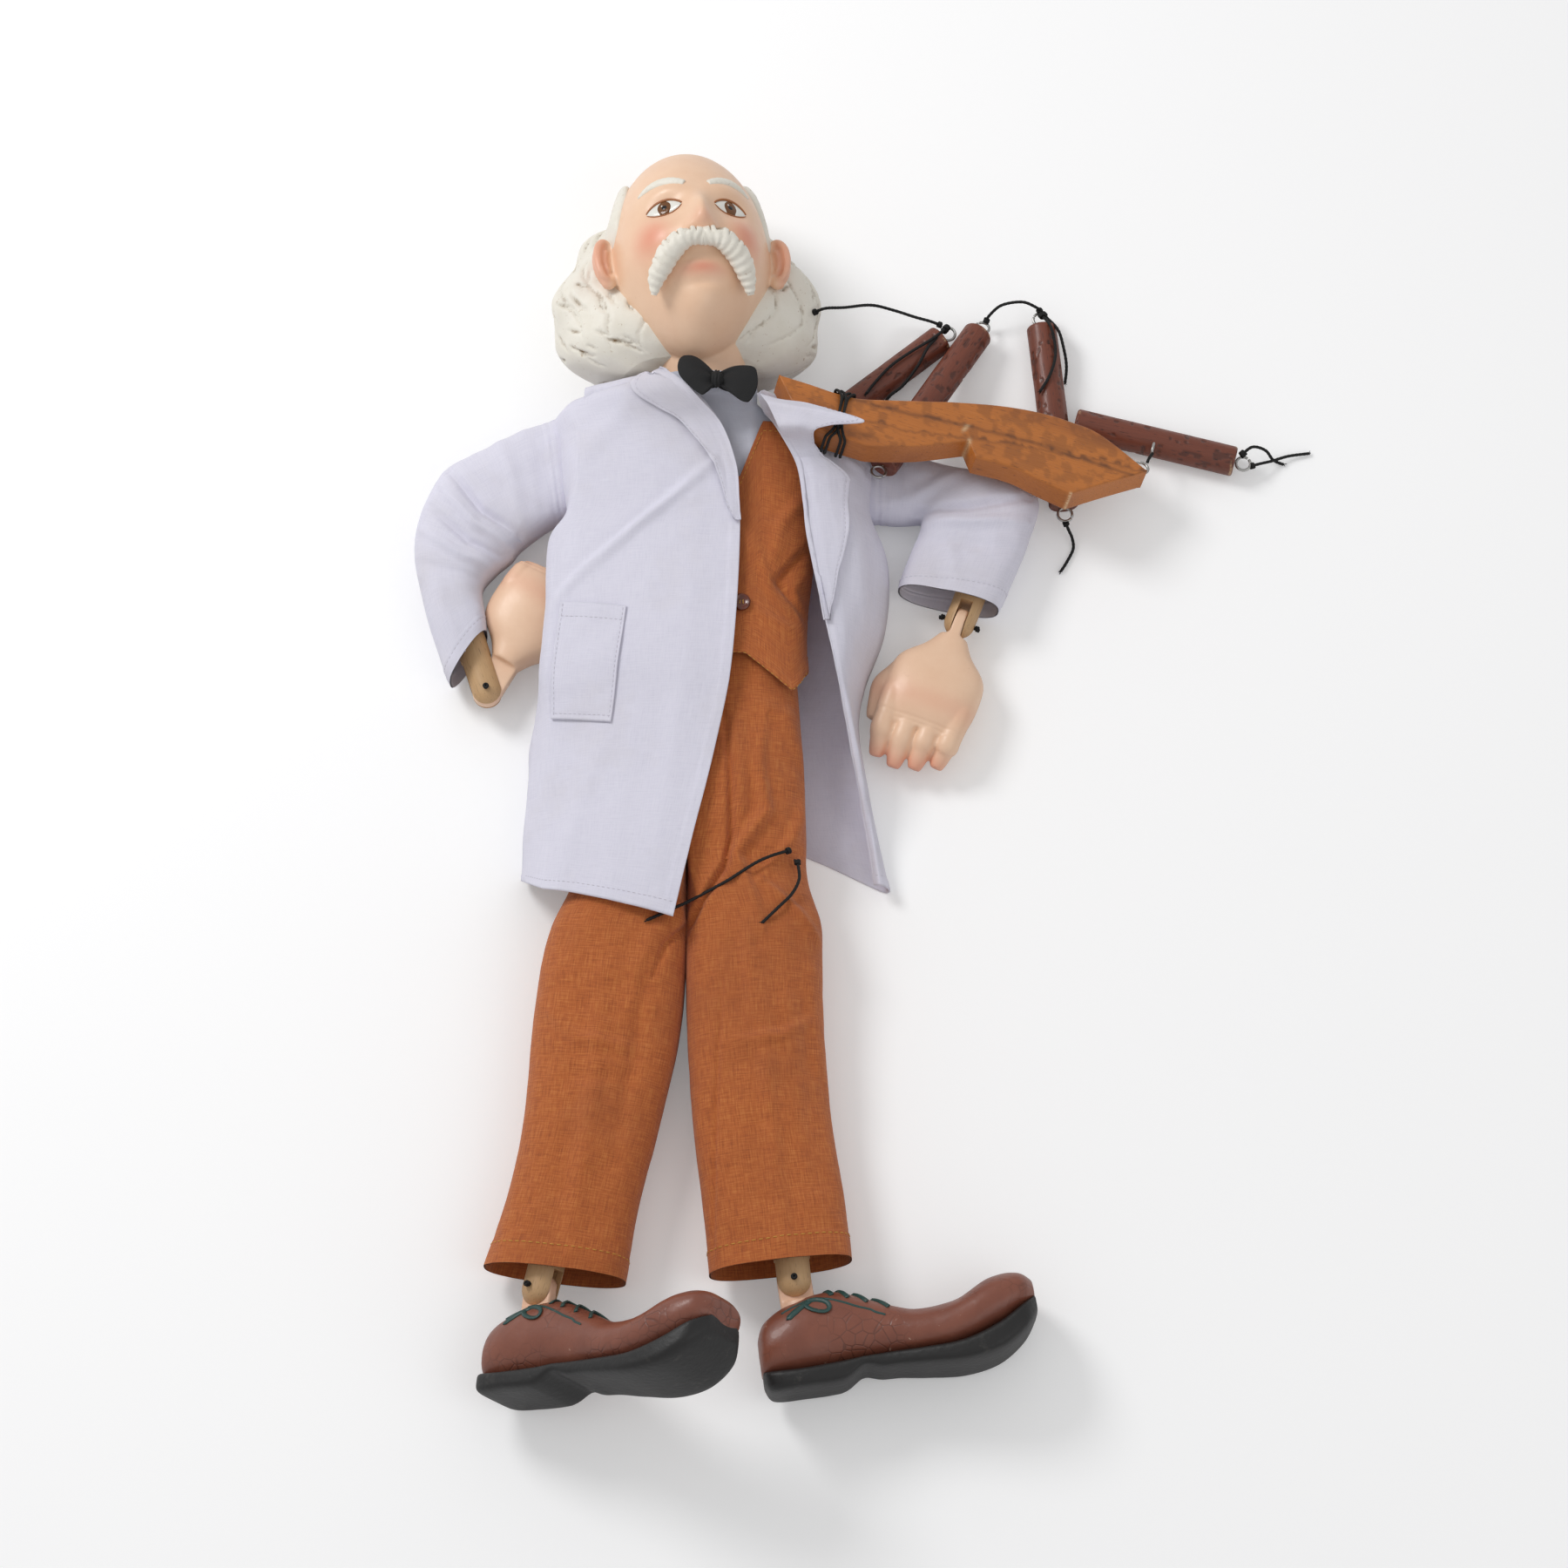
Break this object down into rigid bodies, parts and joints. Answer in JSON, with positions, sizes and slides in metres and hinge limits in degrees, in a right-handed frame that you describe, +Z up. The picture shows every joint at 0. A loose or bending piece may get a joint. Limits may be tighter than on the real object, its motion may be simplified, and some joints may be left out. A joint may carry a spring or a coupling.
{
  "type": "marionette puppet",
  "caption": "Carved wooden string marionette of an elderly gentleman in coat, waistcoat and trousers, with jointed limbs, a neck link and a wooden control board.",
  "frame": {"origin": "middle of the flat back of the coat, on the surface the puppet lies on", "axes": "+Z up from the surface, +Y from the hips to the head, +X to the puppet's left"},
  "size_m": [0.5238, 0.7399, 0.1219],
  "materials": {
    "bare_wood": "natural turned dowel, lightly oiled",
    "painted_skin": "carved and painted flesh colour, satin",
    "shoe_paint": "brown paint with fine cracks, black sole",
    "steel_wire": "bright screw eyes",
    "black_cord": "twisted black cord",
    "white_cotton": "plain cotton weave",
    "shirt_cotton": "plain cotton weave",
    "black_cloth": "black cloth, matte",
    "rust_cloth": "slubby rust-brown weave",
    "brown_button": "glossy brown",
    "board_wood": "honey-brown stain, satin",
    "dark_wood": "dark reddish-brown stain, satin"
  },
  "bodies": {
    "torso": {"trunk": "bare_wood", "neck_eye_trunk": "steel_wire", "shoulder_cord_r": "black_cord", "shoulder_cord_l": "black_cord", "hip_cord_r": "black_cord", "hip_cord_l": "black_cord", "coat": "white_cotton", "coat_lapel_r": "white_cotton", "coat_lapel_l": "white_cotton", "coat_pocket": "white_cotton", "shirt": "shirt_cotton", "bow_tie": "black_cloth", "vest": "rust_cloth", "vest_button": "brown_button", "trousers_seat": "rust_cloth"},
    "neck_link": {"neck_ring": "steel_wire"},
    "head": {"head": "painted_skin", "neck_eye_head": "steel_wire"},
    "upper_arm_r": {"upper_arm_r": "bare_wood", "elbow_cord_r": "black_cord", "sleeve_upper_r": "white_cotton"},
    "forearm_r": {"forearm_r": "bare_wood", "wrist_cord_r": "black_cord", "sleeve_lower_r": "white_cotton"},
    "hand_r": {"hand_r": "painted_skin"},
    "thigh_r": {"thigh_r": "bare_wood", "knee_cord_r": "black_cord", "trouser_thigh_r": "rust_cloth"},
    "shin_r": {"shin_r": "bare_wood", "ankle_cord_r": "black_cord", "trouser_shin_r": "rust_cloth"},
    "foot_r": {"foot_r": "shoe_paint"},
    "upper_arm_l": {"upper_arm_l": "bare_wood", "elbow_cord_l": "black_cord", "sleeve_upper_l": "white_cotton"},
    "forearm_l": {"forearm_l": "bare_wood", "wrist_cord_l": "black_cord", "sleeve_lower_l": "white_cotton"},
    "hand_l": {"hand_l": "painted_skin"},
    "thigh_l": {"thigh_l": "bare_wood", "knee_cord_l": "black_cord", "trouser_thigh_l": "rust_cloth"},
    "shin_l": {"shin_l": "bare_wood", "ankle_cord_l": "black_cord", "trouser_shin_l": "rust_cloth"},
    "foot_l": {"foot_l": "shoe_paint"},
    "control": {"control_board": "board_wood", "bar4_tie": "black_cord", "board_eye_end": "steel_wire", "lashing": "black_cord", "hang_cord": "black_cord", "bar_string": "black_cord", "head_string": "black_cord", "bar4_tail": "black_cord", "leg_string_r": "black_cord", "leg_string_l": "black_cord"},
    "bar_1": {"crossbar_1": "dark_wood"},
    "bar_2": {"crossbar_2": "dark_wood"},
    "bar_3": {"crossbar_3": "dark_wood"},
    "bar_4": {"crossbar_4": "dark_wood"}
  },
  "joints": [
    {"name": "neck_nod", "type": "hinge", "parent": "torso", "child": "neck_link", "pos_m": [-0.005, 0.12365, 0.034], "axis": [1, 0, 0], "range_deg": [-15, 20], "deforming": ["shirt", "coat", "coat_lapel_r", "coat_lapel_l", "bow_tie", "head_string"]},
    {"name": "head_turn", "type": "hinge", "parent": "neck_link", "child": "head", "pos_m": [-0.005, 0.12755, 0.034], "axis": [0, 1, 0], "range_deg": [-30, 30], "deforming": ["head_string"]},
    {"name": "shoulder_r", "type": "hinge", "parent": "torso", "child": "upper_arm_r", "pos_m": [-0.068, 0.099, 0.017], "axis": [-1, 0, 0], "range_deg": [0, 100], "deforming": ["shoulder_cord_r", "coat", "sleeve_upper_r", "coat_lapel_r", "coat_pocket"]},
    {"name": "shoulder_l", "type": "hinge", "parent": "torso", "child": "upper_arm_l", "pos_m": [0.068, 0.096, 0.017], "axis": [-1, 0, 0], "range_deg": [0, 100], "deforming": ["shoulder_cord_l", "coat", "sleeve_upper_l", "coat_lapel_l", "coat_pocket"]},
    {"name": "elbow_r", "type": "hinge", "parent": "upper_arm_r", "child": "forearm_r", "pos_m": [-0.152, 0.027, 0.017], "axis": [0, 0, 1], "range_deg": [-60, 10], "deforming": ["sleeve_upper_r", "sleeve_lower_r", "coat", "coat_pocket"]},
    {"name": "elbow_l", "type": "hinge", "parent": "upper_arm_l", "child": "forearm_l", "pos_m": [0.171, 0.068, 0.017], "axis": [0, 0, 1], "range_deg": [-8, 80], "deforming": ["sleeve_upper_l", "sleeve_lower_l", "coat"]},
    {"name": "wrist_r", "type": "hinge", "parent": "forearm_r", "child": "hand_r", "pos_m": [-0.128, -0.046, 0.017], "axis": [0, 0, 1], "range_deg": [-8, 2], "deforming": ["sleeve_lower_r", "coat", "coat_pocket"]},
    {"name": "wrist_l", "type": "hinge", "parent": "forearm_l", "child": "hand_l", "pos_m": [0.144, -0.003, 0.017], "axis": [-0.9347, 0.3554, 0], "range_deg": [-40, 40], "deforming": ["sleeve_lower_l"]},
    {"name": "hip_r", "type": "hinge", "parent": "torso", "child": "thigh_r", "pos_m": [-0.027, -0.141, 0.026], "axis": [-0.9706, 0.2408, 0], "range_deg": [0, 90], "deforming": ["hip_cord_r", "trousers_seat", "trouser_thigh_r", "coat", "coat_pocket", "leg_string_r", "leg_string_l"]},
    {"name": "knee_r", "type": "hinge", "parent": "thigh_r", "child": "shin_r", "pos_m": [-0.059, -0.27, 0.026], "axis": [0.9719, -0.2354, 0], "range_deg": [0, 100], "deforming": ["trouser_thigh_r", "trouser_shin_r", "leg_string_r", "leg_string_l"]},
    {"name": "hip_l", "type": "hinge", "parent": "torso", "child": "thigh_l", "pos_m": [0.023, -0.141, 0.026], "axis": [-0.9956, -0.0941, 0], "range_deg": [0, 90], "deforming": ["hip_cord_l", "trousers_seat", "trouser_thigh_l", "coat", "coat_pocket", "leg_string_r", "leg_string_l"]},
    {"name": "knee_l", "type": "hinge", "parent": "thigh_l", "child": "shin_l", "pos_m": [0.035, -0.268, 0.026], "axis": [0.9946, 0.1034, 0], "range_deg": [0, 100], "deforming": ["trouser_thigh_l", "trouser_shin_l", "leg_string_r", "leg_string_l"]},
    {"name": "ankle_r", "type": "hinge", "parent": "shin_r", "child": "foot_r", "pos_m": [-0.09, -0.398, 0.026], "axis": [-0.5575, 0.135, 0.8192], "range_deg": [-25, 25], "deforming": ["trouser_shin_r"]},
    {"name": "ankle_l", "type": "hinge", "parent": "shin_l", "child": "foot_l", "pos_m": [0.048, -0.393, 0.026], "axis": [0, 0, 1], "range_deg": [-25, 25], "deforming": ["trouser_shin_l"]},
    {"name": "control_lift", "type": "slide", "parent": "torso", "child": "control", "axis": [0, 0, 1], "range_m": [0, 0.26], "deforming": ["head_string", "leg_string_r", "leg_string_l", "coat_lapel_l"]},
    {"name": "bar_1_swing", "type": "hinge", "parent": "control", "child": "bar_1", "pos_m": [0.08, 0.139, 0.0095], "axis": [0, 0, 1], "range_deg": [0, 10], "deforming": ["head_string"]},
    {"name": "bar_2_swing", "type": "hinge", "parent": "control", "child": "bar_2", "pos_m": [0.0997, 0.086, 0.04], "axis": [0, 0, 1], "range_deg": [-8, 0], "deforming": ["bar_string"]},
    {"name": "bar_3_swing", "type": "hinge", "parent": "control", "child": "bar_3", "pos_m": [0.2065, 0.0737, 0.0095], "axis": [0, 0, 1], "range_deg": [0, 10], "deforming": ["bar_string", "hang_cord"]},
    {"name": "bar_4_swing", "type": "hinge", "parent": "control", "child": "bar_4", "pos_m": [0.2609, 0.1149, 0.0095], "axis": [0, 0, 1], "range_deg": [-20, 20], "deforming": ["bar4_tail", "bar4_tie"]}
  ],
  "couplings": [
    {"joint": "shoulder_l", "follows": "control_lift", "rad_per_m": 6.667}
  ]
}
